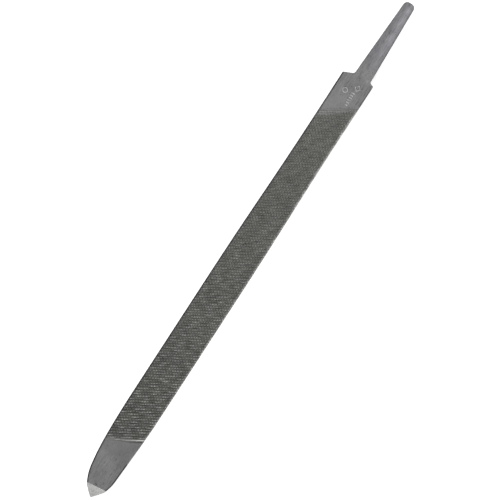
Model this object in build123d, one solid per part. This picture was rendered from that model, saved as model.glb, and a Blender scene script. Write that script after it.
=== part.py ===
from build123d import *

# Three-square (triangular) hand file: one bar of hardened steel, forged to a tang at one end and to a point
# at the other. The nodes are the named zones of that one bar, and they meet face to face:
#
#     tang       the tapered spike that a handle is driven on to
#     heel       the plain end of the blade, with the shoulders that the handle stops against
#     cut_body   the length that carries the teeth; its faces lie at the height of the tooth crests
#     point      the plain, rounded nose with its ground end
#
# The bar is worked out in its own frame: +X runs along the axis from the point to the tang, and +Z is square
# to the face that carries the marks. It is then rolled on to its bench face, so that z = 0 is the bench.

import os
from math import cos, radians, sin, sqrt, tan

# ---- driving dimensions, in millimetres and degrees ----
BLADE_LENGTH = 254.0  # point to shoulders: a ten inch file
TANG_LENGTH = 47.8  # shoulders to the end of the tang
BELLY_WIDTH = 19.3  # one face, over its rounded arrises, where the blade is widest
HEEL_WIDTH = 17.4  # the same at the heel
ARRIS_RADIUS = 0.4  # the long edges where two faces meet

HEEL_NODE_LENGTH = 11.5  # shoulders to where the cut body begins
HEEL_PARALLEL_LENGTH = 26.5  # shoulders to where the blade begins to swell
SWELL_LENGTH = 100.0  # the stretch over which it grows from heel width to belly width

POINT_NODE_LENGTH = 24.5  # end of the point back to the cut body
NOSE_LENGTH = 56.0  # end of the point back to where the blade begins to narrow
NOSE_BEND_LENGTH = 30.0  # end of the point back to where the nose begins to lean
NOSE_TURN_LENGTH = 14.2  # end of the point back to where it rounds off
NOSE_BEND_WIDTH = 17.8  # face width at those two places
NOSE_TURN_WIDTH = 15.2
NOSE_END_WIDTH = 3.4  # face width at the very end, had it not been ground
NOSE_TURN_LEAN = 0.5  # how far the forged nose stands off the axis at the turn, to one side
NOSE_END_LEAN = 1.6  # and at its end
NOSE_TURN_RISE = 0.45  # how far it stands off the axis towards the marked face at the turn
NOSE_END_RISE = 2.6  # and at its end

GROUND_END_LENGTH = 6.5  # how far back the slanting ground end reaches on the marked face
GROUND_END_SKEW = 6.0  # how far that ground end is out of square, seen on the marked face

SHOULDER_SLOPE = 25.0  # the shoulders lean back this far from square
BENCH_SHOULDER_SLOPE = 17.0  # the one on the bench side
SHOULDER_DEPTH = 1.8  # shoulders to the root of the tang, along the axis
SHOULDER_ROOT_RADIUS = 2.4  # the hollow where a shoulder runs into the tang
TANG_NODE_SETBACK = 4.0  # root of the tang to where the tang node begins, clear of that hollow
TANG_ROOT_WIDTH = 9.8
TANG_ROOT_THICKNESS = 7.0
TANG_END_WIDTH = 6.1
TANG_END_THICKNESS = 3.4
TANG_SIDE_SLOPE = 14.5  # the tang's sides draw in this far towards its underside
TANG_OFFSET = 1.6  # the tang was forged this far to one side of the axis
TANG_END_HEIGHT = 0.3  # middle of the tang's end above the axis
TANG_END_RADIUS = 2.5  # rounding of the end, seen on the marked face
TANG_EDGE_RADIUS = 0.4

TO_BENCH = 60.0  # rolls the bar from marked face up to bench face down

# ---- places along the axis, all from those lengths ----
overall_length = BLADE_LENGTH + TANG_LENGTH
tip_x = -overall_length / 2
tang_end_x = overall_length / 2
shoulder_x = tip_x + BLADE_LENGTH
tang_root_x = shoulder_x + SHOULDER_DEPTH
tang_split_x = tang_root_x + TANG_NODE_SETBACK
heel_split_x = shoulder_x - HEEL_NODE_LENGTH
point_split_x = tip_x + POINT_NODE_LENGTH
swell_start_x = shoulder_x - HEEL_PARALLEL_LENGTH
swell_end_x = swell_start_x - SWELL_LENGTH
nose_start_x = tip_x + NOSE_LENGTH
nose_bend_x = tip_x + NOSE_BEND_LENGTH
nose_turn_x = tip_x + NOSE_TURN_LENGTH

reach = 3 * BELLY_WIDTH  # further from the axis than any part of the bar


def apothem(width):
    """Axis to face, for an equilateral section whose face measures width over its rounded arrises."""
    sharp_side = width + 2 * ARRIS_RADIUS * (sqrt(3) - 1)
    return sharp_side / (2 * sqrt(3))


heel_height = apothem(HEEL_WIDTH)
belly_height = apothem(BELLY_WIDTH)
tang_end_top = TANG_END_HEIGHT + TANG_END_THICKNESS / 2


def face_slab(roll):
    """Everything under one face of the blade: its side view, carried right across the bar.

    roll turns the slab about the axis to its face. The nose stands off the axis, and a face moves out by as
    much of that as points along its own normal.
    """
    lean_share, rise_share = sin(radians(roll)), cos(radians(roll))
    swell_middle = ((swell_start_x + swell_end_x) / 2, (heel_height + belly_height) / 2)
    turn_height = apothem(NOSE_TURN_WIDTH) + lean_share * NOSE_TURN_LEAN + rise_share * NOSE_TURN_RISE
    end_height = apothem(NOSE_END_WIDTH) + lean_share * NOSE_END_LEAN + rise_share * NOSE_END_RISE

    heel = Line((tang_root_x, heel_height), (swell_start_x, heel_height))
    hollow = TangentArc(heel @ 1, swell_middle, tangent=heel % 1)
    swell = TangentArc(hollow @ 1, (swell_end_x, belly_height), tangent=hollow % 1)
    belly = Line(swell @ 1, (nose_start_x, belly_height))
    nose = TangentArc(belly @ 1, (nose_bend_x, apothem(NOSE_BEND_WIDTH)), tangent=belly % 1)
    bend = TangentArc(nose @ 1, (nose_turn_x, turn_height), tangent=nose % 1)
    turn = TangentArc(bend @ 1, (tip_x, end_height), tangent=bend % 1)
    under = Polyline(turn @ 1, (tip_x, -reach), (tang_root_x, -reach), heel @ 0)
    side_view = make_face(Wire([heel, hollow, swell, belly, nose, bend, turn, *under.edges()]))
    return Rot(roll, 0, 0) * extrude(Plane.XZ * side_view, reach, both=True)


def rounded_blade():
    """The three faces brought together, with the arrises between them eased."""
    blade = face_slab(0) & face_slab(120) & face_slab(-120)
    end_faces = blade.faces().filter_by(Axis.X)
    arrises = blade.edges() - end_faces.edges()
    return fillet(arrises.filter_by(lambda edge: edge.bounding_box().size.X > 1), ARRIS_RADIUS)


def ground_end(blade):
    """Everything that the grinding leaves: what lies behind a slanting plane through the far arris's end."""
    edge_x = tip_x + GROUND_END_LENGTH
    edge_probe = blade & Line((edge_x, -NOSE_END_LEAN, 0), (edge_x, -NOSE_END_LEAN, reach))
    edge_middle = Vector(edge_x, -NOSE_END_LEAN, edge_probe.bounding_box().max.Z)
    edge_direction = Vector(sin(radians(GROUND_END_SKEW)), -cos(radians(GROUND_END_SKEW)), 0)
    far_arris = Vector(tip_x, -NOSE_END_LEAN, NOSE_END_RISE + ARRIS_RADIUS - 2 * apothem(NOSE_END_WIDTH))
    ground = Plane(edge_middle, x_dir=edge_direction, z_dir=edge_direction.cross(far_arris - edge_middle))
    return split(blade, bisect_by=ground, keep=Keep.BOTTOM if ground.z_dir.X < 0 else Keep.TOP)


def rounded_corner(outline, corner, radius):
    """The outline with the corner nearest the given place rounded off."""
    nearest = outline.vertices().sort_by_distance(corner)[0]
    return fillet(nearest, radius)


def tang_side(side):
    """Everything inside one side of the tang and its shoulder: the outline on the marked face, carried down.

    side is 1 for the side away from the bench and -1 for the side towards it.
    """
    root = (tang_root_x, side * TANG_ROOT_WIDTH / 2 - TANG_OFFSET)
    drawn_in = (heel_height - tang_end_top) * tan(radians(TANG_SIDE_SLOPE))
    end = (tang_end_x, side * (TANG_END_WIDTH / 2 + drawn_in) - TANG_OFFSET)
    slope = SHOULDER_SLOPE if side > 0 else BENCH_SHOULDER_SLOPE
    outer = (root[0] - (reach - abs(root[1])) * tan(radians(slope)), side * reach)
    outline = make_face(
        Polyline((tip_x, -side * reach), (tip_x, side * reach), outer, root, end,
                 (tang_end_x, -side * reach), close=True)
    )
    outline = rounded_corner(outline, root, SHOULDER_ROOT_RADIUS)
    outline = rounded_corner(outline, end, TANG_END_RADIUS)
    draw_in = Vector(0, -side * tan(radians(TANG_SIDE_SLOPE)), -1)
    return extrude(Pos(0, 0, heel_height) * outline, reach, dir=draw_in, both=True)


def tang_thickness():
    """Everything between the tang's marked side and its underside: its side view, carried right across.

    The marked side runs on level over the heel, so that it meets the shoulders as it will on the bar.
    """
    root = (tang_root_x, heel_height - TANG_ROOT_THICKNESS)
    outer = (root[0] - (reach + root[1]) * tan(radians(SHOULDER_SLOPE)), -reach)
    outline = make_face(
        Polyline((tip_x, -reach), outer, root, (tang_end_x, tang_end_top - TANG_END_THICKNESS),
                 (tang_end_x, tang_end_top), (tang_root_x, heel_height), (heel_split_x, heel_height),
                 (heel_split_x, reach), (tip_x, reach), close=True)
    )
    outline = rounded_corner(outline, root, SHOULDER_ROOT_RADIUS)
    return extrude(Plane.XZ * outline, reach, both=True)


def forging():
    """Everything inside the tang and both shoulders, with the tang's long edges eased."""
    sides = tang_side(1) & tang_side(-1) & tang_thickness()
    past_root = sides.edges().filter_by(lambda edge: edge.bounding_box().min.X > tang_root_x)
    return fillet(past_root.filter_by(lambda edge: edge.bounding_box().size.X > 1), TANG_EDGE_RADIUS)


def forged_bar():
    """The whole bar: the blade carried on past its shoulders, and drawn down to the tang."""
    blade = ground_end(rounded_blade())
    heel_end = blade.faces().sort_by(Axis.X)[-1]
    stock = blade + extrude(heel_end, tang_end_x - tang_root_x)
    return stock & forging()


def on_bench(piece):
    """Rolled on to the bench face and lifted so that the belly of that face lies on the bench."""
    return Pos(0, 0, belly_height) * Rot(TO_BENCH, 0, 0) * piece


def zone(bar, start_x, end_x):
    """The stretch of the bar between two places along the axis."""
    window = Box(end_x - start_x, reach, reach, align=(Align.MIN, Align.CENTER, Align.CENTER))
    return (Pos(start_x, 0, 0) * window & bar).solid()


bar = forged_bar()
starts = {"point": tip_x, "cut_body": point_split_x, "heel": heel_split_x, "tang": tang_split_x}
ends = [*starts.values()][1:] + [tang_end_x]
os.makedirs("parts", exist_ok=True)
for (name, start_x), end_x in zip(starts.items(), ends):
    piece = on_bench(zone(bar, start_x, end_x))
    piece.label = name
    export_step(piece, f"parts/{name}.step")
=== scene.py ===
from math import cos, pi, radians, sin, sqrt, tan

import bpy
import numpy as np
from mathutils import Matrix, Vector


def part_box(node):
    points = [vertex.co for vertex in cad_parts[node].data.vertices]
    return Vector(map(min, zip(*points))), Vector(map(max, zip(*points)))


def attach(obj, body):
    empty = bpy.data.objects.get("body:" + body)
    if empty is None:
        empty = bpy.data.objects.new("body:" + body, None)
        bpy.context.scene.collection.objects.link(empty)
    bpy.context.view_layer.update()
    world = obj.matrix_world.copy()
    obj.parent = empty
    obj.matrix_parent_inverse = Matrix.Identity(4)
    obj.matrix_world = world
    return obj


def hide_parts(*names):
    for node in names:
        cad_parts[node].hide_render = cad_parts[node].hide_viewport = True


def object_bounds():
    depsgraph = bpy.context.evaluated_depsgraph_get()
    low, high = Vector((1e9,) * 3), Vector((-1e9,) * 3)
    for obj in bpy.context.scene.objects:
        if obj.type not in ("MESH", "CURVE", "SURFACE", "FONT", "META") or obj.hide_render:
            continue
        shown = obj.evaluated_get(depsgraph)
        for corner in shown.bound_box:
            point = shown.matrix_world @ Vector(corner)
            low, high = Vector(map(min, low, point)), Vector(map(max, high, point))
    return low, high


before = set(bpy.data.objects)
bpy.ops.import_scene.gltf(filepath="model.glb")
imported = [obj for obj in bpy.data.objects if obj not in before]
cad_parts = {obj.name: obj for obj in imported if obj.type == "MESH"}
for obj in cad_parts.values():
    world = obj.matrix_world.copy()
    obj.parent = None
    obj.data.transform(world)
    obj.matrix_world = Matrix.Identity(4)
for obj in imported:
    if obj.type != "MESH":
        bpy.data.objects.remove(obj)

bl_info = {
    "name": "Three-square file",
    "version": (1, 0, 0),
    "blender": (4, 5, 0),
    "location": "3D View > Sidebar > File",
    "description": "Builds the teeth, forged ends, stamped marks and steel finishes of a three-square file",
    "category": "Object",
}

MM = 0.001
CAD_LOW, CAD_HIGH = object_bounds()
TIP_X, TANG_END_X = CAD_LOW.x, CAD_HIGH.x
POINT_SPLIT_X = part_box("point")[1].x
HEEL_SPLIT_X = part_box("heel")[0].x
TANG_SPLIT_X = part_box("tang")[0].x
BELLY_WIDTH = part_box("cut_body")[1].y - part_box("cut_body")[0].y
HEEL_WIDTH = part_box("heel")[1].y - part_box("heel")[0].y

MARKED, BENCH, BACK = 0.0, radians(120), radians(-120)  # the three faces, by their turn about the axis
MARK_DEPTH = 0.13 * MM
ARRIS_REACH = 0.9 * MM  # how far the painted highlight of the worn arris and the painted shade along an arris reach on to a toothed face
GULLET = 0.8  # where the bottom between two teeth lies, as a share of the pitch
FRONT = 0.12  # the share of the pitch that a tooth's steep front takes
TO_BENCH = radians(60)  # rolls the file from marked face up to bench face down


# ---- sizes and finishes that a user may change ----

def length(name, description, millimetres):
    """A length property, given in millimetres and held in metres."""
    return bpy.props.FloatProperty(name=name, description=description, default=millimetres * MM,
                                   unit="LENGTH", precision=5)


def angle(name, description, degrees):
    """An angle property, given in degrees."""
    return bpy.props.FloatProperty(name=name, description=description, default=radians(degrees),
                                   subtype="ANGLE")


def colour(name, description, value):
    """A colour property."""
    return bpy.props.FloatVectorProperty(name=name, description=description, default=value, subtype="COLOR",
                                         size=3, min=0, max=1)


def share(name, description, value):
    """A property from 0 to 1."""
    return bpy.props.FloatProperty(name=name, description=description, default=value, min=0, max=1,
                                   subtype="FACTOR")


class BladeSizes(bpy.types.PropertyGroup):
    """The bar's own shape: the blade, its nose and its tang."""
    blade_length: length("Blade length", "End of the point to the shoulders", 254.0)
    arris_radius: length("Arris radius", "Rounding of the long edges between the faces", 0.4)
    heel_parallel: length("Parallel heel", "Shoulders to where the blade begins to swell", 26.5)
    swell: length("Swell", "Stretch over which it grows from heel to belly", 100.0)
    nose: length("Nose", "End of the point to where the blade begins to narrow", 56.0)
    nose_bend: length("Nose bend", "End of the point to where the nose begins to lean", 30.0)
    nose_turn: length("Nose turn", "End of the point to where it rounds off", 14.2)
    nose_bend_width: length("Width at the bend", "Face width where the nose begins to lean", 17.8)
    nose_turn_width: length("Width at the turn", "Face width where the nose rounds off", 15.2)
    nose_end_width: length("Width at the end", "Face width at the very end, had it not been ground", 3.4)
    nose_turn_lean: length("Lean at the turn", "How far the nose leans to one side at the turn", 0.5)
    nose_end_lean: length("Lean at the end", "How far the nose leans to one side at its end", 1.6)
    nose_turn_rise: length("Rise at the turn", "How far the nose rises to the marked face at the turn", 0.45)
    nose_end_rise: length("Rise at the end", "How far the nose rises to the marked face at its end", 2.6)
    ground_length: length("Ground end", "How far back the ground end reaches on the marked face", 6.5)
    ground_skew: angle("Ground end skew", "How far the ground end is out of square", 6.0)
    shoulder_slope: angle("Shoulder slope", "How far the shoulders lean back from square", 25.0)
    bench_shoulder_slope: angle("Bench shoulder slope", "The same, on the bench side", 17.0)
    shoulder_depth: length("Shoulder depth", "Shoulders to the root of the tang, along the axis", 1.8)
    shoulder_hollow: length("Shoulder hollow", "Size of the hollow where a shoulder meets the tang", 2.2)
    tang_root_width: length("Tang root width", "Width of the tang at its root", 9.8)
    tang_root_thickness: length("Tang root thickness", "Thickness of the tang at its root", 7.0)
    tang_end_width: length("Tang end width", "Width of the tang at its end", 6.1)
    tang_end_thickness: length("Tang end thickness", "Thickness of the tang at its end", 3.4)
    tang_side_slope: angle("Tang side slope", "How far the sides draw in towards the underside", 14.5)
    tang_offset: length("Tang offset", "How far the tang stands to one side", 1.6)
    tang_end_height: length("Tang end height", "Middle of the tang's end above the axis", 0.3)
    tang_end_radius: length("Tang end radius", "Rounding of the tang's end", 2.5)
    dents: length("Forging dents", "How far the forged ends wander from true", 0.05)


class ToothSizes(bpy.types.PropertyGroup):
    """The two crossing sets of teeth on each face."""
    pitch: length("Up-cut pitch", "Distance between rows of teeth", 1.34)
    slant: angle("Up-cut angle", "Angle of the rows to the axis", 59.2)
    depth: length("Up-cut depth", "Depth of the rows", 0.36)
    cross_pitch: length("Over-cut pitch", "Distance between the crossing grooves", 1.35)
    cross_slant: angle("Over-cut angle", "Angle of the crossing grooves to the axis", 47.0)
    cross_depth: length("Over-cut depth", "Depth of the crossing grooves", 0.22)
    wander: length("Row wander", "How far the rows stray from straight, as worn chisels leave them", 0.16)
    plain_point: length("Plain point", "End of the point to the last row, on the middle of a face", 33.5)
    plain_heel: length("Plain heel", "Shoulders to the first row, on the middle of a face", 17.2)


class SteelFinishes(bpy.types.PropertyGroup):
    """Colours and polish of the zones."""
    cut_colour: colour("Teeth", "Tooth tops", (0.156, 0.156, 0.146))
    # painted highlight: the bright colour of tooth crests, the worn arris and the ground end's rim
    burr_colour: colour("Burrs", "Tooth tops where a fresh burr catches the light", (0.70, 0.70, 0.68))
    # painted shade: the gullet colour stands for the shade that falls between the teeth
    gullet_shade_colour: colour("Gullets", "Bottoms between the teeth", (0.022, 0.022, 0.019))
    nose_colour: colour("Nose", "Plain steel of the point", (0.242, 0.242, 0.245))
    ground_colour: colour("Ground end", "Freshly ground steel", (0.365, 0.365, 0.36))
    heel_colour: colour("Heel", "Plain steel of the heel", (0.20, 0.20, 0.20))
    tang_colour: colour("Tang", "Steel of the tang, never hardened", (0.166, 0.166, 0.176))
    # painted highlight: a bright stripe along the tang
    rubbed_colour: colour("Rubbed steel", "Where handling has brightened the tang", (0.30, 0.30, 0.314))
    # painted highlight: the stamped marks painted bright
    mark_highlight_colour: colour("Marks", "Steel laid bare in the stamped marks", (0.44, 0.44, 0.44))
    # painted shade: a dark line along the rounded edges
    edge_shade_colour: colour("Edges", "Scale left on rounded edges", (0.03, 0.03, 0.03))
    floor_colour: colour("Floor", "Studio floor", (0.93, 0.93, 0.93))
    cut_roughness: share("Teeth roughness", "Polish of the teeth", 0.42)
    plain_roughness: share("Plain roughness", "Polish of the plain steel", 0.46)


class StudioSettings(bpy.types.PropertyGroup):
    """The camera, the lights and the floor."""
    view_width: length("View width", "Width of the picture at the marked face", 255.7)
    distance: length("Camera distance", "Lens to the marked face", 1700.0)
    aim_along: length("Aim along", "Middle of the picture along the axis", -0.1)
    aim_across: length("Aim across", "Middle of the picture across the marked face", -1.25)
    roll: angle("Roll", "Angle of the blade in the picture", 57.0)
    sky: share("Sky", "Brightness of the room", 0.3)
    floor_glow: share("Floor glow", "How far the floor is lit from within, as a light table is", 0.7)


def sizes():
    """The blade's sizes."""
    return bpy.context.scene.file_blade


# ---- the shape of the bar, in its own frame: x along the axis, y across and z out of the marked face ----

def apothem(width, size):
    """Axis to face, for an equilateral section whose face measures width over its rounded arrises."""
    return (width + 2 * size.arris_radius * (sqrt(3) - 1)) / (2 * sqrt(3))


def arc(x, start, heading, end):
    """Heights at x of the arc that leaves start along heading and runs to end, and its last heading.

    The centre lies square to the heading at the signed radius chord^2 / (2 * chord . normal). The last
    heading is the first one mirrored in the chord.
    """
    chord = end - start
    normal = np.array([-heading[1], heading[0]])
    radius = chord @ chord / (2 * chord @ normal)
    centre = start + normal * radius
    rise = np.sqrt(np.maximum(radius**2 - (x - centre[0]) ** 2, 0))
    height = centre[1] - np.sign(normal[1] * radius) * rise
    along = chord / np.linalg.norm(chord)
    return height, 2 * (heading @ along) * along - heading


def face_height(x, face, size):
    """Axis to face at x: level at the heel, an S of two arcs to the belly, level, three arcs to the tip.

    The nose stands off the axis, and a face moves out by as much of that as points along its own normal.
    """
    lean_share, rise_share = sin(face), cos(face)
    shoulder_x = TIP_X + size.blade_length
    swell_x = shoulder_x - size.heel_parallel
    heel, belly = apothem(HEEL_WIDTH, size), apothem(BELLY_WIDTH, size)
    swell_places = [
        (swell_x, heel),
        (swell_x - size.swell / 2, (heel + belly) / 2),
        (swell_x - size.swell, belly),
    ]
    nose_places = [
        (TIP_X + size.nose, belly),
        (TIP_X + size.nose_bend, apothem(size.nose_bend_width, size)),
        (TIP_X + size.nose_turn, apothem(size.nose_turn_width, size)
         + lean_share * size.nose_turn_lean + rise_share * size.nose_turn_rise),
        (TIP_X, apothem(size.nose_end_width, size)
         + lean_share * size.nose_end_lean + rise_share * size.nose_end_rise),
    ]
    height = np.where(x > swell_x, heel, belly)
    for places in (swell_places, nose_places):
        heading = np.array([-1.0, 0.0])
        for start, end in zip(places, places[1:]):
            bent, heading = arc(x, np.array(start), heading, np.array(end))
            height = np.where((x <= start[0]) & (x >= end[0]), bent, height)
    return height


def across_face(x, turn, column, size):
    """Where a column crosses the section at x: its place across the face, its height, and its outward slant.

    column holds two rows. The first is the share of the way across the flat. The second is the slant from
    the face's own normal, from -60 degrees on one arris, through 0 all over the flat, to 60 on the other.
    Each arris is an arc about a centre that lies its radius in from both of its faces.
    """
    share_across, slant = column
    radius = size.arris_radius
    own = face_height(x, turn, size) - radius
    faces = [MARKED, BACK, BENCH]
    place = faces.index(turn)
    ahead = face_height(x, faces[(place + 1) % 3], size) - radius
    behind = face_height(x, faces[place - 1], size) - radius
    right = (ahead + own / 2) / cos(radians(30))
    left = -(behind + own / 2) / cos(radians(30))
    across = left + (right - left) * share_across + radius * np.sin(slant)
    return across, own + radius * np.cos(slant), slant


def columns(flat_count, arris_count):
    """Columns across one face, from the middle of one arris to the middle of the other."""
    bend = np.linspace(radians(60), 0, arris_count + 1)[:-1]
    flat = np.linspace(0, 1, flat_count)
    share_across = np.concatenate([0 * bend, flat, 0 * bend + 1])
    slant = np.concatenate([-bend, 0 * flat, bend[::-1]])
    return np.array([share_across, slant])


def turned(x, across, out, turn):
    """Points from a face's own directions, turned about the axis to that face and rolled on to the bench."""
    whole = turn + TO_BENCH
    y = across * cos(whole) - out * sin(whole)
    z = across * sin(whole) + out * cos(whole) + apothem(BELLY_WIDTH, sizes())
    return np.stack([x + 0 * y, y, z], axis=-1)


# ---- surfaces ----

def surface(name, points, around=False, pole=None, facing=1, shade_smooth=True, **masks):
    """A mesh from a grid of points, rows first.

    around joins the last column to the first. pole is a last point that closes the last row. facing is -1
    where rows by columns would face inwards. Each mask becomes an attribute with one value for each point.
    """
    rows, cols = points.shape[:2]
    index = np.arange(rows * cols).reshape(rows, cols)
    if around:
        index = np.concatenate([index, index[:, :1]], axis=1)
    quads = np.stack([index[:-1, :-1], index[:-1, 1:], index[1:, 1:], index[1:, :-1]], axis=-1).reshape(-1, 4)
    vertices = points.reshape(-1, 3)
    loops, starts = quads[:, ::facing].ravel(), np.arange(len(quads)) * 4
    if pole is not None:
        rim = index[-1]
        fan = np.stack([rim[:-1], rim[1:], np.full(len(rim) - 1, len(vertices))], axis=-1)
        starts = np.concatenate([starts, len(loops) + np.arange(len(fan)) * 3])
        loops = np.concatenate([loops, fan[:, ::facing].ravel()])
        vertices = np.concatenate([vertices, np.reshape(pole, (1, 3))])
    mesh = bpy.data.meshes.new(name)
    mesh.vertices.add(len(vertices))
    mesh.vertices.foreach_set("co", vertices.astype(np.float32).ravel())
    mesh.loops.add(len(loops))
    mesh.loops.foreach_set("vertex_index", loops.astype(np.int32))
    mesh.polygons.add(len(starts))
    mesh.polygons.foreach_set("loop_start", starts.astype(np.int32))
    mesh.update(calc_edges=True)
    mesh.validate()
    mesh.shade_smooth() if shade_smooth else mesh.shade_flat()
    for mask, values in masks.items():
        layer = mesh.attributes.new(mask, "FLOAT", "POINT")
        full = np.concatenate([np.broadcast_to(values, (rows, cols)).ravel(), [0.0] * (pole is not None)])
        layer.data.foreach_set("value", full.astype(np.float32))
    piece = bpy.data.objects.new(name, mesh)
    bpy.context.scene.collection.objects.link(piece)
    return piece


def finish_piece(piece, material, slot, *nodes):
    """Gives a piece its material and its place in the frame."""
    piece.data.materials.append(material)
    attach(piece, "root")
    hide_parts(*nodes)


def tooth_depths(rows, crossings, teeth):
    """How deep the two cuts go, as shares of the up-cut depth. rows and crossings count the teeth of each.

    Up-cut: from each crest the back falls away towards the heel as a power curve, to the bottom of the
    gullet, and rises steeply to the next crest. Over-cut: V grooves, one for each crossing.
    """
    phase = rows % 1
    back = (np.minimum(phase, GULLET) / GULLET) ** 1.2
    front = np.clip((1 - phase) / FRONT, 0, 1)
    groove = np.maximum(1 - np.abs(crossings % 1 - 0.5) / 0.32, 0) * teeth.cross_depth / teeth.depth
    return np.minimum(back, front), groove


def chance(row, seed):
    """A number from 0 to 1 for each row that looks random: the far decimals of a sine."""
    return np.sin(12.9898 * row + 78.233 * seed) * 43758.5453 % 1


def strayed(row, across, wave, seed):
    """A smooth line from -1 to 1 along each row: two sines whose lengths and phases differ by row."""
    turns = across / wave
    slow = np.sin(2 * pi * (turns * (0.7 + 0.6 * chance(row, seed + 1)) + chance(row, seed + 2)))
    quick = np.sin(2 * pi * (turns * (1.5 + 0.8 * chance(row, seed + 3)) + chance(row, seed + 4)))
    return 0.62 * slow + 0.38 * quick


def toothed_face(name, turn, phase):
    """One face of the cut body, with half of each arris: rows of columns that slant with the teeth.

    A row of teeth is the line x = w - y / tan(slant), w being its place on the middle of the face. Five
    rows of points follow each row of teeth, and plain rows lead from both ends of the body to the first and
    last teeth. x and across depend on each other, so they are settled in three passes.
    """
    size, teeth = sizes(), bpy.context.scene.file_teeth
    column = columns(100, 3)
    step = teeth.pitch / sin(teeth.slant)
    first = TIP_X + teeth.plain_point
    count = int((size.blade_length - teeth.plain_point - teeth.plain_heel) / step)
    inside = np.array([0.0, 0.26, 0.54, 0.8, 0.89])  # places of the five rows, from one gullet to the next
    tooth_rows = np.concatenate([(np.arange(count)[:, None] + inside).ravel(), [count]]) + GULLET
    lead_in = np.append(np.linspace(0, 0.93, 10), 0.95)  # its last row is in the first groove
    lead_out = np.linspace(0, 1, 31)[1:]
    rows = len(lead_in) + len(tooth_rows) + len(lead_out)
    tooth = np.floor(tooth_rows + FRONT)[:, None]

    across = np.zeros((rows, column.shape[1]))
    for _ in range(3):
        over = across[len(lead_in) : -len(lead_out)]
        slanted = first + (tooth_rows[:, None] - GULLET) * step - over / tan(teeth.slant)
        slanted = slanted + strayed(tooth, over, 14 * MM, phase) * teeth.wander
        before = POINT_SPLIT_X + (slanted[:1] - POINT_SPLIT_X) * lead_in[:, None]
        after = slanted[-1:] + (HEEL_SPLIT_X - slanted[-1:]) * lead_out[:, None]
        x = np.concatenate([before, slanted, after])
        across, out, slant = across_face(x, turn, column, size)

    def near_arris(column, most):
        """Nearness to the arris in a column, from 0 to 1: most, less the distance over the reach of the
        arris's painted highlight and painted shade.
        """
        return np.clip(most - np.abs(across - across[:, [column]]) / ARRIS_REACH, 0, 1)

    place = np.concatenate([0 * lead_in[1:], [0.62], tooth_rows, 0 * lead_out + count + 1])[:, None]
    crossing = (x - across / tan(teeth.cross_slant)) * sin(teeth.cross_slant) / teeth.cross_pitch + phase
    row = np.floor(place + FRONT)
    low_side = np.clip(0.5 - 0.9 * across / BELLY_WIDTH, 0, 1)
    started = np.clip(low_side + (place - GULLET) / 3, 0, 1)
    starting = np.where(place < 1, low_side**1.5, started) * (place > 0)
    ending = np.clip((count + GULLET - place) / (0.6 + 3.5 * (1 - low_side)), 0, 1)
    toothed = starting * ending
    crossing = crossing + 0.14 * strayed(row, across, 8 * MM, 40 + phase)
    up_cut, over_cut = tooth_depths(place, crossing, teeth)
    over_cut = over_cut * (row > 1)
    up_cut = up_cut * (0.84 + 0.16 * strayed(row, across, 9 * MM, 10 + phase))
    whole = toothed * (1 - np.abs(slant) / radians(60))
    cut = np.maximum(up_cut, over_cut) * whole
    # share of the way from heel to point: mixes heel and nose steel, and strengthens the painted shade and
    # painted highlight towards the point
    fresh = np.clip((HEEL_SPLIT_X - x) / (HEEL_SPLIT_X - POINT_SPLIT_X), 0, 1)
    # painted shade: gullets and over-cut grooves darkened by their depth, more towards the point
    dark = np.maximum(up_cut * (0.12 + 0.86 * fresh), over_cut * (0.38 + 0.36 * fresh)) * whole
    crest = place % 1 < np.where(row == 1, 0.4, 0.1)
    # painted highlight: bright lines along the crests, stronger towards the point and on the first row's low
    # side
    burr = np.clip(0.24 + 0.66 * strayed(row, across, 8 * MM, 20 + phase), 0, 1) * (0.08 + 0.8 * fresh**1.5)
    burr = np.maximum(burr, (row == 1) * np.clip(1.3 * low_side**2, 0, 1)) * crest * toothed
    if turn != BACK:  # the arris between the marked face and the bench is worn, and painted bright as a painted reflection of the floor
        wear_and_highlight = near_arris(0 if turn == MARKED else -1, 1.3)
        burr = np.maximum(burr, wear_and_highlight * (0.56 + 0.25 * strayed(row, across, 9 * MM, 30 + phase)) * toothed)
    # painted shade along the arris between the marked face and the back face
    edge = near_arris(-1, 1.15) * (turn == MARKED)
    pressed = stamped(x, across) * (turn == MARKED) * (place > count)
    sunk = cut * teeth.depth + pressed * MARK_DEPTH
    points = turned(x, across - sunk * np.sin(slant), out - sunk * np.cos(slant), turn)
    plain = 1 - toothed ** np.where(place < 5, 0.5, 1)  # the first few rows take on the teeth's colour sooner
    return surface(name, points, shade_smooth=False, cut=dark, burr=burr, edge=edge, fresh=fresh,
                   pressed=pressed, plain=plain)


def rough_forging(points, size):
    """The slight wander of forged steel: a few slow waves along and round the piece, added to its points."""
    x, y, z = (points[..., axis] / MM for axis in range(3))
    wander = np.sin(0.42 * x + 0.9 * y + 1.3) * np.sin(0.61 * z - 0.33 * x + 0.4)
    wander = wander + 0.5 * np.sin(1.1 * x - 0.8 * z)
    across = np.stack([0 * x, np.cos(0.7 * x + y), np.sin(0.9 * x - z)], axis=-1)
    return points + across * (wander * size.dents / 2)[..., None]


def section_loop(x, loop, size):
    """The blade's whole section at x, as y across and z out of the marked face, round all three faces."""
    y, z = [], []
    for turn, column in loop:
        across, out, _ = across_face(x[:, : column.shape[1]], turn, column, size)
        y.append(across * cos(turn) - out * sin(turn))
        z.append(across * sin(turn) + out * cos(turn))
        x = x[:, column.shape[1] :]
    return np.concatenate(y, axis=1), np.concatenate(z, axis=1)


def on_arris(loop):
    """How near an arris each column of a loop is: 1 round the arris, fading a little way on to the flats."""
    column = np.concatenate([column for _, column in loop], axis=1)
    into_flat = np.minimum(column[0], 1 - column[0]) * HEEL_WIDTH
    return np.clip(1 - into_flat / (0.6 * MM), 0, 1)


def loop_of(marked_count, other_count, arris_count):
    """Columns right round the blade, a run for each face, without its last, which is the next one's first."""
    counts = {MARKED: marked_count, BACK: other_count, BENCH: other_count}
    return [(turn, columns(count, arris_count)[:, :-1]) for turn, count in counts.items()]


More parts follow.
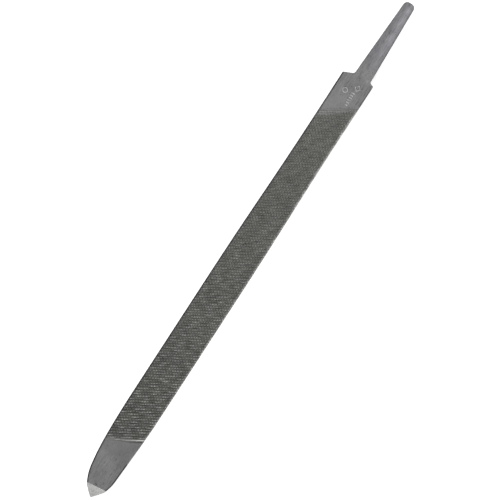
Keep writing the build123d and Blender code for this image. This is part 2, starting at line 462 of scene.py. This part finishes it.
def ground_plane(size):
    """The slanting plane that the end is ground to, as a point and its outward normal in the bar's frame.

    It runs through a skewed line across the marked face and through the end of the far arris.
    """
    lean = size.nose_end_lean
    edge_x = np.array([TIP_X + size.ground_length])
    middle = np.array([edge_x[0], -lean, face_height(edge_x, MARKED, size)[0]])
    along = np.array([sin(size.ground_skew), -cos(size.ground_skew), 0])
    far_height = size.nose_end_rise + size.arris_radius - 2 * apothem(size.nose_end_width, size)
    far = np.array([TIP_X, -lean, far_height])
    normal = np.cross(along, far - middle)
    normal /= np.linalg.norm(normal)
    return middle, normal * -np.sign(normal[0])


def point_piece():
    """The nose and its ground end: the section carried to the ground plane, an eased edge, and the flat.

    Along each column the place where it meets the plane is read off a fine run of sections, and the rows are
    spread from the body to there, closing up towards the end. The flat is the last ring drawn in to its
    middle.
    """
    size = sizes()
    loop = loop_of(60, 60, 4)
    total = sum(column.shape[1] for _, column in loop)
    middle, normal = ground_plane(size)
    probes = 400
    probe = np.linspace(TIP_X, TIP_X + 2.2 * size.ground_length, probes)[:, None] + np.zeros((1, total))
    y, z = section_loop(probe, loop, size)
    beyond = (probe - middle[0]) * normal[0] + (y - middle[1]) * normal[1] + (z - middle[2]) * normal[2]
    last = (beyond > 0).sum(axis=0).clip(1, probes - 1)
    column = np.arange(total)
    above, below = beyond[last - 1, column], beyond[last, column]
    share_back = np.where(above > 0, above / (above - below), 0)
    meet = probe[last - 1, column] + share_back * (probe[last, column] - probe[last - 1, column])

    run = 1 - (1 - np.linspace(0, 1, 90)) ** 1.6
    x = POINT_SPLIT_X + (meet - POINT_SPLIT_X) * run[:, None]
    y, z = section_loop(x, loop, size)
    bar = np.stack([x, y, z], axis=-1)
    rim = bar[-1]
    centre = rim.mean(axis=0)
    ease = 0.16 * MM
    inward = centre - rim
    inward /= np.linalg.norm(inward, axis=1)[:, None]
    back = bar[-2] - rim
    back /= np.linalg.norm(back, axis=1)[:, None]
    eased = [rim + back * ease, rim + back * ease * 0.3 + inward * ease * 0.3, rim + inward * ease]
    flat = [rim + inward * ease + (centre - rim - inward * ease) * pull for pull in (0.04, 0.3, 0.6, 0.85)]
    bar = np.concatenate([bar[:-1], np.array(eased + flat)])
    ground = np.concatenate([np.zeros(len(x) - 1), [0.0, 0.6, 1.0], np.ones(len(flat))])[:, None]
    closed = np.concatenate([bar, np.broadcast_to(centre, (1, total, 3))])
    world = turned(closed[..., 0], closed[..., 1], closed[..., 2], MARKED)
    onset_length = 6 * MM  # the forging's wander grows over this length, so that the piece meets the body
    onset = np.clip((POINT_SPLIT_X - world[..., 0]) / onset_length, 0, 1)[..., None]
    unground = 1 - np.append(ground, [[1.0]], 0)[..., None]
    world = world + (rough_forging(world, size) - world) * onset * unground
    # painted highlight: the first ring of the eased edge round the ground end
    rim_highlight = (np.arange(len(ground)) == len(x))[:, None]
    # painted shade along the nose's arrises (the edge mask)
    return surface("ground_point", world[:-1], around=True, pole=world[-1, 0], facing=-1, ground=ground,
                   edge=on_arris(loop) * (1 - ground), rim=rim_highlight)


def tang_places(x, size):
    """The tang's own sizes at x: half its width, its thickness, and the height of its marked side."""
    shoulder_x = TIP_X + size.blade_length
    root_x = shoulder_x + size.shoulder_depth
    gone = np.clip((x - root_x) / (TANG_END_X - root_x), 0, 1)
    half = (size.tang_root_width + (size.tang_end_width - size.tang_root_width) * gone) / 2
    thick = size.tang_root_thickness + (size.tang_end_thickness - size.tang_root_thickness) * gone
    heel_top = apothem(HEEL_WIDTH, size)
    top = heel_top + (size.tang_end_height + size.tang_end_thickness / 2 - heel_top) * gone
    return half, thick, top


def stamped(x, across):
    """How deep the heel's marks are pressed, from 0 to 1: a ring, a diamond and a row of plain bars.

    Each falls from 1 on its line to 0 at half the line's width, all in millimetres, and is then sharpened.
    """
    along = (TIP_X + sizes().blade_length - x) / MM
    side = across / MM
    ring_radius, diamond_reach, bar_half_length = 1.25, 1.5, 1.15
    first_bar, bar_spacing, bar_count = 7.2, 1.4, 6
    ring = 1 - np.abs(np.hypot(along - 7.9, side - 2.5) - ring_radius) / 0.3
    diamond = 1 - np.abs(np.abs(along - 3.9) + np.abs(side + 2.6) - diamond_reach) / 0.35
    bars_along = first_bar + bar_spacing * np.arange(bar_count)
    from_bar = np.abs(along[..., None] - bars_along).min(axis=-1)
    bars = np.minimum(1 - np.abs(side + 2.0) / bar_half_length, 1 - from_bar / 0.34)
    return np.clip(np.max([ring, diamond, bars], axis=0) * 2.2, 0, 1)


def heel_and_tang():
    """The heel, its shoulders and the tang, as one grid cut in two where the tang's node begins.

    Round the bar, a column keeps the direction in which it leaves the tang's middle. Along it, the rows
    follow the blade to the shoulder, lie on the shoulder planes in to the tang, and follow the tang to its
    end. Both corners are eased by quadratic curves. The tang's section is a smooth least of its four sides'
    planes: r = (sum of (max(cos, 0) / distance) ^ power) ^ (-1 / power).
    """
    size = sizes()
    loop = loop_of(100, 34, 4)
    total = sum(column.shape[1] for _, column in loop)
    shoulder_x = TIP_X + size.blade_length
    root_x = shoulder_x + size.shoulder_depth
    draw = size.tang_side_slope

    heel_x = np.full((1, total), HEEL_SPLIT_X)
    blade_y, blade_z = (part[0] for part in section_loop(heel_x, loop, size))
    middle_y = -size.tang_offset
    root_half, root_thick, root_top = (float(part) for part in tang_places(np.array(root_x), size))
    root_middle = root_top - root_thick / 2
    direction = np.arctan2(blade_z - root_middle, blade_y - middle_y)

    def tang_radius(x):
        """Middle of the tang to its surface in each column's direction, at x, and nearness to an edge."""
        half, thick, _ = tang_places(x, size)
        rounded = np.clip((x - (TANG_END_X - size.tang_end_radius)) / size.tang_end_radius, 0, 1)
        half = half - size.tang_end_radius * (1 - np.sqrt(1 - rounded**2))
        bevel = 0.7 * MM
        bevelled = np.clip((x - (TANG_END_X - bevel)) / bevel, 0, 1)
        level = thick / 2 - bevel * (1 - np.sqrt(1 - bevelled**2))
        side = (half - thick / 2 * tan(draw)) * cos(draw)
        nearness = [np.maximum(np.cos(direction - facing), 0) / distance for facing, distance in
                    ((pi / 2, level), (-pi / 2, level), (-draw, side), (pi + draw, side))]
        power = 16
        far = np.sum(np.power(nearness, power), axis=0) ** (-1 / power)
        return far, np.clip((1 - far * np.max(nearness, axis=0)) / 0.042, 0, 1)

    root_radius = tang_radius(np.full((1, total), root_x))[0][0]
    root_y = middle_y + root_radius * np.cos(direction)
    root_z = root_middle + root_radius * np.sin(direction)
    reach = np.hypot(root_y - blade_y, root_z - blade_z)
    least_shoulder, least_setback = 0.25 * MM, 0.6 * MM
    within = (reach > least_shoulder) & (np.hypot(blade_y - middle_y, blade_z - root_middle) > root_radius)
    root_y, root_z = np.where(within, root_y, blade_y), np.where(within, root_z, blade_z)
    reach = np.where(within, reach, 0)

    drop = root_top - blade_z
    side_slope = np.where(blade_y > middle_y, tan(size.shoulder_slope), tan(size.bench_shoulder_slope))
    from_side = np.abs(blade_y - middle_y) + drop * tan(draw) - root_half
    from_under = drop - root_thick
    back = np.maximum(side_slope * from_side, tan(size.shoulder_slope) * from_under)
    shoulder = root_x - np.maximum(back, least_setback)

    soften = np.minimum(0.35 * MM, 0.2 * MM + reach * 0.3)
    hollow = np.minimum(size.shoulder_hollow, np.maximum(reach * 0.7, 0.5 * MM))
    heel_rows, tang_rows = 76, 70
    blade_rows = HEEL_SPLIT_X + (shoulder - soften - HEEL_SPLIT_X) * np.linspace(0, 1, heel_rows)[:, None]

    corner = np.stack([shoulder, blade_y, blade_z], axis=-1)
    before = np.stack([shoulder - soften, blade_y, blade_z], axis=-1)
    root = np.stack([np.full(total, root_x), root_y, root_z], axis=-1)
    edge = root - corner
    edge_length = np.linalg.norm(edge, axis=-1)[:, None]
    after = corner + edge * np.minimum(soften[:, None] / edge_length, 0.4)
    into = root - edge * np.minimum(hollow[:, None] / edge_length, 0.58)
    leave_x = root_x + hollow

    def on_tang(x):
        """Points on the tang, for rows of x."""
        _, thick, top = tang_places(x, size)
        far = tang_radius(x)[0]
        y = middle_y + far * np.cos(direction)
        z = top - thick / 2 + far * np.sin(direction)
        return np.stack([x + 0 * y, y, z], axis=-1)

    leave = on_tang(leave_x[None, :])[0]

    def eased(first, middle, last, steps):
        """A quadratic curve from first to last, pulled to middle."""
        t = np.array(steps)[:, None, None]
        return (1 - t) ** 2 * first + 2 * t * (1 - t) * middle + t**2 * last

    blade = np.stack([blade_rows, blade_y + 0 * blade_rows, blade_z + 0 * blade_rows], axis=-1)
    turn_out = eased(before, corner, after, [0.25, 0.5, 0.75, 1])
    turn_in = eased(into, root, leave, [0, 0.15, 0.3, 0.45, 0.6, 0.8, 1])
    stub = on_tang(leave_x + (TANG_SPLIT_X - leave_x) * np.linspace(0, 1, 6)[1:, None])
    run = 1 - (1 - np.linspace(0, 1, tang_rows)) ** 1.5
    tang = on_tang(TANG_SPLIT_X + (TANG_END_X - TANG_SPLIT_X) * run[:, None] + np.zeros((1, total)))
    end_middle = tang[-1].mean(axis=0)
    cap = [end_middle + (tang[-1] - end_middle) * pull for pull in (0.7, 0.35)]
    tang = np.concatenate([tang, cap])

    heel = np.concatenate([blade, turn_out, turn_in, stub])
    marked = np.arange(total) < loop[0][1].shape[1]
    unmarked = 1.2 * MM  # the strip along the shoulders
    pressed = stamped(heel[..., 0], heel[..., 1]) * marked * (heel[..., 0] < shoulder_x - unmarked)
    heel[..., 2] -= pressed * MARK_DEPTH
    plain = np.concatenate([np.zeros(len(blade)), np.linspace(0, 1, len(heel) - len(blade))])[:, None, None]

    heel_world = turned(heel[..., 0], heel[..., 1], heel[..., 2], MARKED)
    tang_world = turned(tang[..., 0], tang[..., 1], tang[..., 2], MARKED)
    heel_world = heel_world + (rough_forging(heel_world, size) - heel_world) * plain
    tang_world = rough_forging(tang_world, size)
    # painted shade along the heel's arrises, full on one side and half on the other, and along the tang's
    # edges
    heel_edge_shade = on_arris(loop) * (heel[..., 0] < shoulder_x) * np.where(heel[..., 1] > 0, 1, 0.5)
    tang_edge_shade = tang_radius(tang[..., 0])[1] ** 1.2

    def forged(points):
        """How far along its change from heel steel to tang steel each point is."""
        change_length = 14 * MM
        return np.clip((points[..., 0] - shoulder_x) / change_length, 0, 1) ** 2

    def rubbed(points):
        """The painted highlight: a bright stripe along the marked side of the tang, towards the bench."""
        half, thick, top = tang_places(points[..., 0], size)
        aside = (points[..., 1] - middle_y + 0.3 * half) / (0.45 * half)
        fade_in_length = 30 * MM
        begun = np.clip((points[..., 0] - shoulder_x) / fade_in_length, 0, 1)
        patchy = 0.6 + 0.25 * np.sin(0.55 * points[..., 0] / MM) * np.cos(0.23 * points[..., 0] / MM + 1)
        return np.exp(-(aside**2)) * begun * patchy * (points[..., 2] > top - 0.3 * thick)

    heel_piece = surface("heel_and_shoulders", heel_world, around=True, pressed=pressed, edge=heel_edge_shade,
                         forged=forged(heel), rubbed=rubbed(heel))
    pole = tang_world[-1].mean(axis=0)
    tang_piece = surface("driven_tang", tang_world, around=True, pole=pole, pressed=0.0, edge=tang_edge_shade,
                         forged=forged(tang), rubbed=rubbed(tang))
    return heel_piece, tang_piece


# ---- materials ----

def shader_group(name, inputs, outputs):
    """An empty shader node group with the named inputs and outputs, and its two end nodes."""
    group = bpy.data.node_groups.new(name, "ShaderNodeTree")
    for label, kind, default in inputs:
        socket = group.interface.new_socket(name=label, in_out="INPUT", socket_type=kind)
        socket.default_value = default
    for label, kind in outputs:
        group.interface.new_socket(name=label, in_out="OUTPUT", socket_type=kind)
    return group, group.nodes.new("NodeGroupInput"), group.nodes.new("NodeGroupOutput")


def feed(tree, socket, value):
    """Links a socket to another one, or gives it a plain value."""
    if isinstance(value, bpy.types.NodeSocket):
        tree.links.new(value, socket)
    else:
        socket.default_value = value


def math_node(tree, operation, first, second, clamp=False):
    """A Math node on two links or numbers, and its result."""
    node = tree.nodes.new("ShaderNodeMath")
    node.operation, node.use_clamp = operation, clamp
    feed(tree, node.inputs[0], first)
    feed(tree, node.inputs[1], second)
    return node.outputs[0]


def mix_colours(tree, factor, first, second):
    """A colour Mix node on links or colours, and its result. Its colours are its inputs 6 and 7."""
    node = tree.nodes.new("ShaderNodeMix")
    node.data_type = "RGBA"
    for place, value in ((0, factor), (6, first), (7, second)):
        feed(tree, node.inputs[place], value)
    return node.outputs[2]


def steel_variation():
    """Group: the uneven tone of handled tool steel. A cloudy tint, dark specks, and scratches along x."""
    inputs = [("Scale", "NodeSocketFloat", 1.0), ("Scratch Stretch", "NodeSocketFloat", 0.05)]
    outputs = [("Cloud", "NodeSocketFloat"), ("Specks", "NodeSocketFloat"), ("Scratches", "NodeSocketFloat")]
    group, start, end = shader_group("steel_variation", inputs, outputs)
    place = group.nodes.new("ShaderNodeTexCoord")
    scaled = group.nodes.new("ShaderNodeVectorMath")
    scaled.operation = "SCALE"
    group.links.new(place.outputs["Object"], scaled.inputs[0])
    group.links.new(start.outputs["Scale"], scaled.inputs["Scale"])

    def noise(vector, scale, detail):
        """A Noise Texture's value on a vector."""
        texture = group.nodes.new("ShaderNodeTexNoise")
        texture.inputs["Scale"].default_value, texture.inputs["Detail"].default_value = scale, detail
        group.links.new(vector, texture.inputs["Vector"])
        return texture.outputs[0]

    group.links.new(noise(scaled.outputs[0], 130, 5), end.inputs["Cloud"])

    specks = group.nodes.new("ShaderNodeMapRange")
    specks.inputs["From Min"].default_value, specks.inputs["From Max"].default_value = 0.58, 0.72
    group.links.new(noise(scaled.outputs[0], 1300, 3), specks.inputs["Value"])
    group.links.new(specks.outputs[0], end.inputs["Specks"])

    stretch = group.nodes.new("ShaderNodeCombineXYZ")
    stretch.inputs[1].default_value = stretch.inputs[2].default_value = 1
    group.links.new(start.outputs["Scratch Stretch"], stretch.inputs[0])
    drawn = group.nodes.new("ShaderNodeVectorMath")
    drawn.operation = "MULTIPLY"
    group.links.new(scaled.outputs[0], drawn.inputs[0])
    group.links.new(stretch.outputs[0], drawn.inputs[1])
    group.links.new(noise(drawn.outputs[0], 2600, 2), end.inputs["Scratches"])
    return group


def worn_tint():
    """Group: a base colour, made cloudy, speckled and scratched by the given shares."""
    inputs = [("Base", "NodeSocketColor", (0.3, 0.3, 0.3, 1)), ("Cloud", "NodeSocketFloat", 0.5),
              ("Specks", "NodeSocketFloat", 0.0), ("Scratches", "NodeSocketFloat", 0.5),
              ("Cloud Amount", "NodeSocketFloat", 0.3), ("Speck Amount", "NodeSocketFloat", 0.3),
              ("Scratch Amount", "NodeSocketFloat", 0.2)]
    group, start, end = shader_group("worn_tint", inputs, [("Color", "NodeSocketColor")])
    source = start.outputs
    cloud = math_node(group, "SUBTRACT", source["Cloud"], 0.5)
    cloud = math_node(group, "MULTIPLY", cloud, source["Cloud Amount"])
    scratch = math_node(group, "SUBTRACT", source["Scratches"], 0.5)
    scratch = math_node(group, "MULTIPLY", scratch, source["Scratch Amount"])
    speck = math_node(group, "MULTIPLY", source["Specks"], source["Speck Amount"])
    level = math_node(group, "ADD", math_node(group, "ADD", cloud, scratch), 1.0)
    level = math_node(group, "SUBTRACT", level, speck)
    tint = group.nodes.new("ShaderNodeVectorMath")
    tint.operation = "SCALE"
    group.links.new(source["Base"], tint.inputs[0])
    group.links.new(level, tint.inputs["Scale"])
    group.links.new(tint.outputs[0], end.inputs["Color"])
    return group


def placed(tree, group, **values):
    """A shader group placed in a material, with its own values or links."""
    node = tree.nodes.new("ShaderNodeGroup")
    node.node_tree = group
    for label, value in values.items():
        feed(tree, node.inputs[label.replace("_", " ")], value)
    return node


def steel(name, roughness):
    """An empty steel material: its tree, its shader, and its variation group's outputs."""
    material = bpy.data.materials.new(name)
    material.use_nodes = True
    tree = material.node_tree
    shader = tree.nodes["Principled BSDF"]
    shader.inputs["Metallic"].default_value = 0.75
    shader.inputs["Roughness"].default_value = roughness
    group = bpy.data.node_groups.get("steel_variation") or steel_variation()
    variation = placed(tree, group, Scale=1.0, Scratch_Stretch=0.06)
    return material, tree, shader, variation.outputs


def tinted(tree, base, variation, cloud, specks, scratches):
    """The worn tint of a base colour or link, as a link."""
    group = bpy.data.node_groups.get("worn_tint") or worn_tint()
    node = placed(tree, group, Base=base, Cloud=variation["Cloud"], Specks=variation["Specks"],
                  Scratches=variation["Scratches"], Cloud_Amount=cloud, Speck_Amount=specks,
                  Scratch_Amount=scratches)
    return node.outputs[0]


def attribute(tree, name):
    """A point attribute's value, as a link."""
    node = tree.nodes.new("ShaderNodeAttribute")
    node.attribute_name = name
    return node.outputs["Fac"]


def relief(tree, shader, height, distance, strength):
    """A Bump on the shader's normal."""
    bump = tree.nodes.new("ShaderNodeBump")
    bump.inputs["Distance"].default_value = distance
    bump.inputs["Strength"].default_value = strength
    tree.links.new(height, bump.inputs["Height"])
    tree.links.new(bump.outputs[0], shader.inputs["Normal"])


def opaque(value):
    """A property colour as four numbers."""
    return (*value, 1.0)


def tooth_steel():
    """Cut steel: tops bright from use and painted brighter as a painted highlight, gullets darkened with
    painted shade, plain where no teeth are.
    """
    finish = bpy.context.scene.file_finish
    material, tree, shader, variation = steel("tooth_steel", finish.cut_roughness)
    cut = attribute(tree, "cut")
    plain = attribute(tree, "plain")
    sunk = math_node(tree, "POWER", cut, 0.7, clamp=True)
    # tooth tops, painted bright with a painted highlight
    tops = mix_colours(tree, attribute(tree, "burr"), opaque(finish.cut_colour), opaque(finish.burr_colour))
    # painted shade in the gullets
    toothed = mix_colours(tree, sunk, tops, opaque(finish.gullet_shade_colour))
    bare = mix_colours(tree, attribute(tree, "fresh"), opaque(finish.heel_colour), opaque(finish.nose_colour))
    # stamped marks painted bright as a painted highlight
    bare = mix_colours(tree, attribute(tree, "pressed"), bare, opaque(finish.mark_highlight_colour))
    base = mix_colours(tree, plain, toothed, bare)
    # painted shade along the arris
    base = mix_colours(tree, attribute(tree, "edge"), base, opaque(finish.edge_shade_colour))
    tree.links.new(tinted(tree, base, variation, 0.5, 0.35, 0.25), shader.inputs["Base Color"])
    relief(tree, shader, variation["Scratches"], 0.02 * MM, 0.6)
    return material


def nose_steel():
    """Plain hardened steel of the point, with a brighter ground end, a painted highlight round its edge and
    painted shade along the arrises.
    """
    finish = bpy.context.scene.file_finish
    material, tree, shader, variation = steel("nose_steel", finish.plain_roughness)
    ground = attribute(tree, "ground")
    base = mix_colours(tree, ground, opaque(finish.nose_colour), opaque(finish.ground_colour))
    # painted highlight round the ground end's edge
    base = mix_colours(tree, attribute(tree, "rim"), base, opaque(finish.burr_colour))
    # painted shade along the arrises
    base = mix_colours(tree, attribute(tree, "edge"), base, opaque(finish.edge_shade_colour))
    tree.links.new(tinted(tree, base, variation, 0.6, 0.5, 0.9), shader.inputs["Base Color"])
    relief(tree, shader, variation["Scratches"], 0.03 * MM, 0.7)
    return material


def forged_base(tree, finish):
    """Colour of the forged end, as a link: heel steel, then tang steel, with a painted highlight stripe and
    painted shade along the edges.
    """
    forged = attribute(tree, "forged")
    base = mix_colours(tree, forged, opaque(finish.heel_colour), opaque(finish.tang_colour))
    # painted highlight stripe along the tang
    base = mix_colours(tree, attribute(tree, "rubbed"), base, opaque(finish.rubbed_colour))
    # stamped marks painted bright as a painted highlight
    base = mix_colours(tree, attribute(tree, "pressed"), base, opaque(finish.mark_highlight_colour))
    # painted shade along the edges
    return mix_colours(tree, attribute(tree, "edge"), base, opaque(finish.edge_shade_colour))


def heel_steel():
    """Plain hardened steel of the heel, its stamped marks painted bright as a painted highlight."""
    finish = bpy.context.scene.file_finish
    material, tree, shader, variation = steel("heel_steel", finish.plain_roughness)
    base = forged_base(tree, finish)
    tree.links.new(tinted(tree, base, variation, 0.6, 0.5, 1.1), shader.inputs["Base Color"])
    relief(tree, shader, variation["Scratches"], 0.03 * MM, 0.7)
    return material


def tang_steel():
    """Soft steel of the tang, faintly blue from the forge, with a painted highlight along its length."""
    finish = bpy.context.scene.file_finish
    material, tree, shader, variation = steel("tang_steel", finish.plain_roughness)
    base = forged_base(tree, finish)
    tree.links.new(tinted(tree, base, variation, 0.7, 0.55, 1.1), shader.inputs["Base Color"])
    relief(tree, shader, variation["Scratches"], 0.03 * MM, 0.7)
    return material


# ---- operators ----

class FILE_OT_faces(bpy.types.Operator):
    """Build the three toothed faces of the cut body"""
    bl_idname = "file.faces"
    bl_label = "Toothed faces"

    def execute(self, context):
        material = tooth_steel()
        faces = (("marked_face", MARKED, 0.0), ("bench_face", BENCH, 0.37), ("back_face", BACK, 0.71))
        for name, turn, phase in faces:  # a phase of its own sets each face's teeth differently
            finish_piece(toothed_face(name, turn, phase), material, "cut_steel", "cut_body")
        return {"FINISHED"}


class FILE_OT_point(bpy.types.Operator):
    """Build the plain nose and its ground end"""
    bl_idname = "file.point"
    bl_label = "Ground point"

    def execute(self, context):
        finish_piece(point_piece(), nose_steel(), "point_steel", "point")
        return {"FINISHED"}


class FILE_OT_heel(bpy.types.Operator):
    """Build the heel with its shoulders and marks, and the tang"""
    bl_idname = "file.heel"
    bl_label = "Heel and tang"

    def execute(self, context):
        heel, tang = heel_and_tang()
        finish_piece(heel, heel_steel(), "heel_steel", "heel")
        finish_piece(tang, tang_steel(), "tang_steel", "tang")
        return {"FINISHED"}


def softbox(name, place, width, power):
    """A soft square light that faces the file."""
    light = bpy.data.lights.new(name, "AREA")
    light.shape, light.size, light.energy = "SQUARE", width, power
    lamp = bpy.data.objects.new(name, light)
    lamp.location = place
    lamp.rotation_euler = (-Vector(place)).to_track_quat("-Z", "Y").to_euler()
    bpy.context.scene.collection.objects.link(lamp)


def studio_camera():
    """The camera looks square on to the marked face, rolled so that the tang points up to the right.

    Its right is X turned by the roll in the plane of the face, and its up is square to that.
    """
    studio = bpy.context.scene.file_studio
    across = Vector((0, -cos(TO_BENCH), -sin(TO_BENCH)))
    outward = Vector((0, -sin(TO_BENCH), cos(TO_BENCH)))
    along = Vector((1, 0, 0))
    right = along * cos(studio.roll) + across * sin(studio.roll)
    up = along * sin(studio.roll) - across * cos(studio.roll)
    belly = apothem(BELLY_WIDTH, sizes())
    face_middle = Vector((studio.aim_along, 0, belly)) + outward * belly - across * studio.aim_across
    camera = bpy.data.cameras.new("studio_camera")
    camera.sensor_width = 36.0
    camera.lens = camera.sensor_width * studio.distance / studio.view_width
    camera.clip_start, camera.clip_end = 0.01, 100
    holder = bpy.data.objects.new("studio_camera", camera)
    rotation = Matrix((right, up, outward)).transposed().to_4x4()
    holder.matrix_world = Matrix.Translation(face_middle + outward * studio.distance) @ rotation
    bpy.context.scene.collection.objects.link(holder)
    bpy.context.scene.camera = holder


class FILE_OT_stage(bpy.types.Operator):
    """Build the studio: floor, soft lights, camera"""
    bl_idname = "file.stage"
    bl_label = "Studio"

    def execute(self, context):
        studio = context.scene.file_studio
        finish = context.scene.file_finish
        far, under = 6.0, -1e-5
        corners = [[[-far, -far, under], [far, -far, under]], [[-far, far, under], [far, far, under]]]
        floor = surface("studio_floor", np.array(corners))
        paper = bpy.data.materials.new("studio_paper")
        paper.use_nodes = True
        shader = paper.node_tree.nodes["Principled BSDF"]
        shader.inputs["Base Color"].default_value = opaque(finish.floor_colour)
        shader.inputs["Roughness"].default_value = 0.9
        shader.inputs["Emission Color"].default_value = (1, 1, 1, 1)
        shader.inputs["Emission Strength"].default_value = studio.floor_glow
        floor.data.materials.append(paper)

        world = bpy.data.worlds.new("studio_room")
        world.use_nodes = True
        world.node_tree.nodes["Background"].inputs["Color"].default_value = (1, 1, 1, 1)
        world.node_tree.nodes["Background"].inputs["Strength"].default_value = studio.sky
        context.scene.world = world
        softbox("camera_side_softbox", (0.55, -1.15, 0.85), 0.9, 6.2)
        softbox("point_side_softbox", (-0.9, -0.45, 0.45), 0.4, 3)
        softbox("far_side_softbox", (0.3, 1.2, 0.55), 0.7, 5)
        context.scene.view_settings.view_transform = "Standard"
        studio_camera()
        return {"FINISHED"}


class FILE_PT_panel(bpy.types.Panel):
    """Sidebar panel with every step of the file"""
    bl_idname = "FILE_PT_three_square"
    bl_label = "Three-square file"
    bl_space_type = "VIEW_3D"
    bl_region_type = "UI"
    bl_category = "File"

    def draw(self, context):
        for step in STEPS:
            self.layout.operator(step.bl_idname)
        for group in (context.scene.file_blade, context.scene.file_teeth, context.scene.file_finish,
                      context.scene.file_studio):
            box = self.layout.box()
            for name in group.bl_rna.properties.keys():
                if name not in ("rna_type", "name"):
                    box.prop(group, name)


SETTINGS = {"file_blade": BladeSizes, "file_teeth": ToothSizes, "file_finish": SteelFinishes,
            "file_studio": StudioSettings}
STEPS = (FILE_OT_faces, FILE_OT_point, FILE_OT_heel, FILE_OT_stage)


def register():
    """Registers the settings, the operators and the panel."""
    for name, group in SETTINGS.items():
        bpy.utils.register_class(group)
        setattr(bpy.types.Scene, name, bpy.props.PointerProperty(type=group))
    for step in (*STEPS, FILE_PT_panel):
        bpy.utils.register_class(step)


def unregister():
    """Removes the panel, the operators and the settings."""
    for step in reversed((*STEPS, FILE_PT_panel)):
        bpy.utils.unregister_class(step)
    for name, group in SETTINGS.items():
        delattr(bpy.types.Scene, name)
        bpy.utils.unregister_class(group)


def main():
    """Builds the whole file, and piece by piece."""
    register()
    bpy.ops.file.faces()
    bpy.ops.file.point()
    bpy.ops.file.heel()
    bpy.ops.file.stage()


if __name__ == "__main__":
    main()
